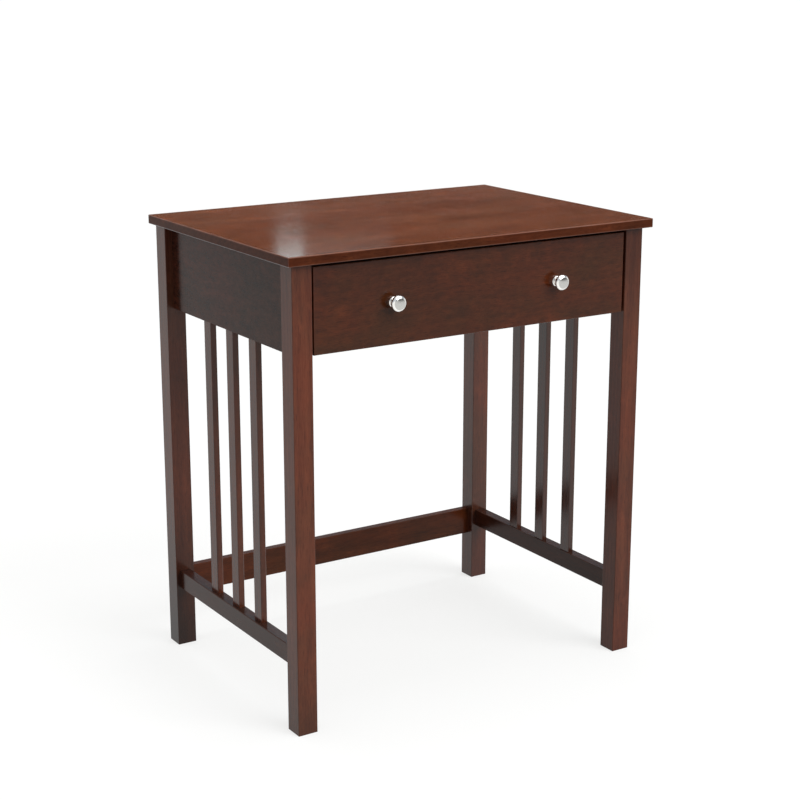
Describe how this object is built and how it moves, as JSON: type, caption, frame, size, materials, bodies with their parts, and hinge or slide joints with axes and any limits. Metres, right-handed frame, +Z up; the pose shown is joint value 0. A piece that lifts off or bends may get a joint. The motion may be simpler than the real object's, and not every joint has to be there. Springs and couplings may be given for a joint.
{
  "type": "kneehole desk",
  "caption": "Small dark-stained wooden desk with a wide inset drawer on roller runners, square legs, slatted open sides and a low rail at the back.",
  "frame": {"origin": "on the floor under the middle of the overall box, which the knobs in front and the top behind set in depth", "axes": "+X to the right as seen from the front, +Y from front to back, +Z up"},
  "size_m": [0.686, 0.491, 0.762],
  "materials": {
    "stained_wood": "satin lacquer over a dark brown stain",
    "inner_wood": "matt stain",
    "zinc_steel": "zinc plated",
    "satin_nickel": "satin nickel",
    "white_nylon": "moulded"
  },
  "bodies": {
    "desk_frame": {"desk_top": "stained_wood", "back_apron": "stained_wood", "front_stretcher": "stained_wood", "back_lower_rail": "stained_wood", "front_left_leg": "stained_wood", "front_right_leg": "stained_wood", "back_left_leg": "stained_wood", "back_right_leg": "stained_wood", "left_side_apron": "stained_wood", "right_side_apron": "stained_wood", "left_lower_rail": "stained_wood", "right_lower_rail": "stained_wood", "left_back_slat": "stained_wood", "left_middle_slat": "stained_wood", "left_front_slat": "stained_wood", "right_back_slat": "stained_wood", "right_middle_slat": "stained_wood", "right_front_slat": "stained_wood", "left_runner_spacer": "inner_wood", "right_runner_spacer": "inner_wood", "left_channel": "zinc_steel", "right_channel": "zinc_steel", "top_brackets": "zinc_steel", "channel_roller_pins": "zinc_steel"},
    "drawer": {"drawer_front": "stained_wood", "drawer_left_side": "inner_wood", "drawer_right_side": "inner_wood", "drawer_back": "inner_wood", "drawer_bottom": "inner_wood", "left_drawer_rail": "zinc_steel", "right_drawer_rail": "zinc_steel", "knobs": "satin_nickel", "knob_screws": "zinc_steel", "drawer_roller_pins": "zinc_steel"},
    "left_channel_roller": {"left_channel_roller": "white_nylon"},
    "right_channel_roller": {"right_channel_roller": "white_nylon"},
    "left_drawer_roller": {"left_drawer_roller": "white_nylon"},
    "right_drawer_roller": {"right_drawer_roller": "white_nylon"}
  },
  "joints": [
    {"name": "drawer_slide", "type": "slide", "parent": "desk_frame", "child": "drawer", "axis": [0, -1, 0], "range_m": [0, 0.29]},
    {"name": "left_channel_roller_spin", "type": "hinge", "parent": "desk_frame", "child": "left_channel_roller", "pos_m": [-0.29085, -0.193, 0.628], "axis": [1, 0, 0], "range_deg": [0, 1662]},
    {"name": "left_drawer_roller_spin", "type": "hinge", "parent": "drawer", "child": "left_drawer_roller", "pos_m": [-0.29085, 0.178, 0.6235], "axis": [1, 0, 0], "range_deg": [0, 1662]},
    {"name": "right_channel_roller_spin", "type": "hinge", "parent": "desk_frame", "child": "right_channel_roller", "pos_m": [0.29085, -0.193, 0.628], "axis": [1, 0, 0], "range_deg": [0, 1662]},
    {"name": "right_drawer_roller_spin", "type": "hinge", "parent": "drawer", "child": "right_drawer_roller", "pos_m": [0.29085, 0.178, 0.6235], "axis": [1, 0, 0], "range_deg": [0, 1662]}
  ],
  "couplings": [
    {"joint": "left_channel_roller_spin", "follows": "drawer_slide", "rad_per_m": 100},
    {"joint": "left_drawer_roller_spin", "follows": "drawer_slide", "rad_per_m": 100},
    {"joint": "right_channel_roller_spin", "follows": "drawer_slide", "rad_per_m": 100},
    {"joint": "right_drawer_roller_spin", "follows": "drawer_slide", "rad_per_m": 100}
  ]
}
